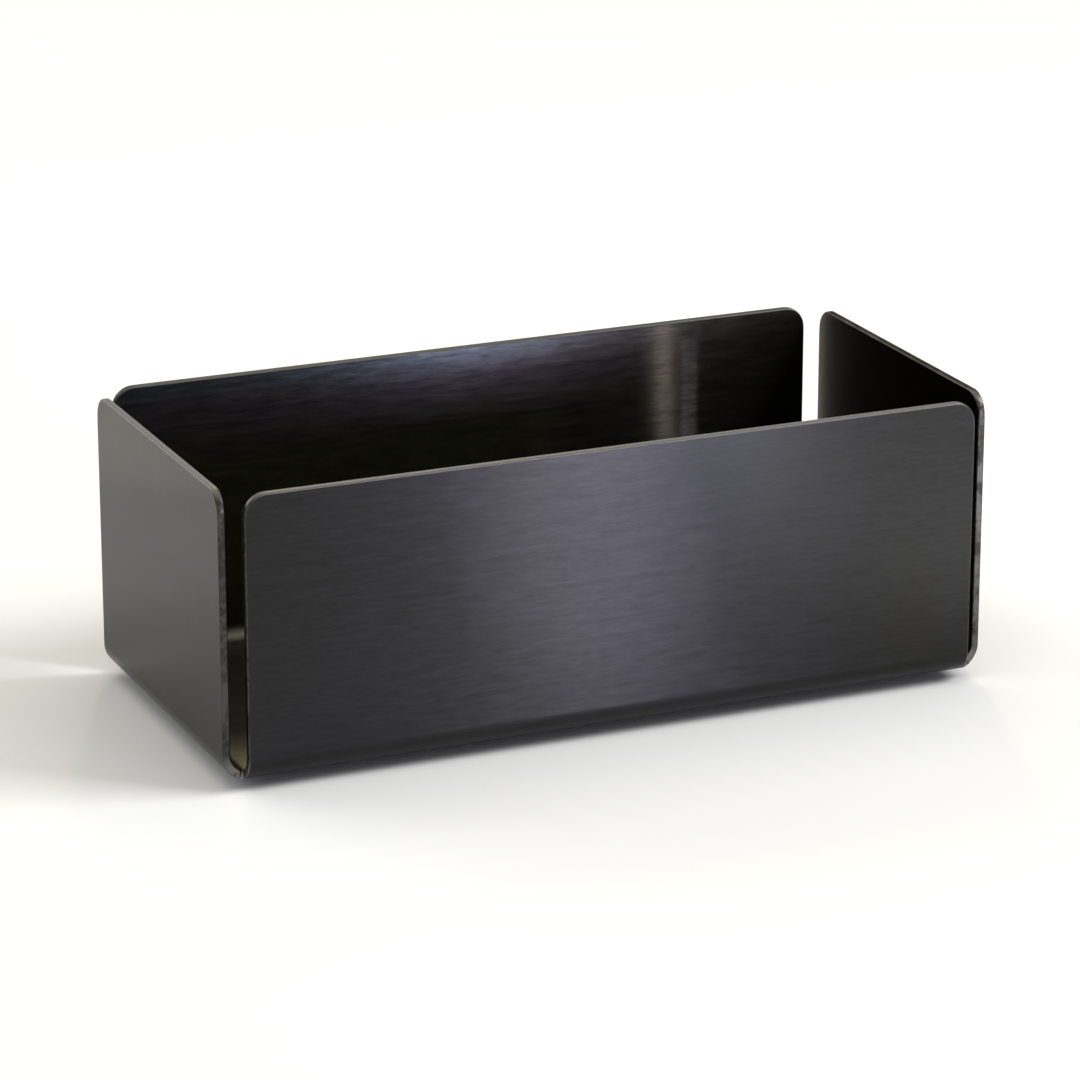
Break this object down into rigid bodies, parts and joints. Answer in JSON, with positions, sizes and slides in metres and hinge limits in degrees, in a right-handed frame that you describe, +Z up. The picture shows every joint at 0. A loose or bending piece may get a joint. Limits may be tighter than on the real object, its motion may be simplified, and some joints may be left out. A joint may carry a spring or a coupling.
{
  "type": "sugar packet holder",
  "caption": "Open rectangular tray for sugar packets, folded from black brushed sheet steel, with open slots at its corners and low rubber feet.",
  "frame": {"origin": "on the surface that the feet stand on, under the centre of the tray", "axes": "+X along the tray towards its right end wall, +Y from the front wall to the back wall, +Z up out of the open top"},
  "size_m": [0.127, 0.0604, 0.0467],
  "materials": {
    "black_steel": "black coating over fine brushed grain that runs along the length of the blank, satin",
    "foot_rubber": "matt black moulded rubber",
    "adhesive": "pale acrylic adhesive film"
  },
  "bodies": {
    "root": {"folded_tray": "black_steel", "front_left_foot": "foot_rubber", "front_right_foot": "foot_rubber", "back_left_foot": "foot_rubber", "back_right_foot": "foot_rubber", "front_left_adhesive": "adhesive", "front_right_adhesive": "adhesive", "back_left_adhesive": "adhesive", "back_right_adhesive": "adhesive"}
  },
  "joints": []
}
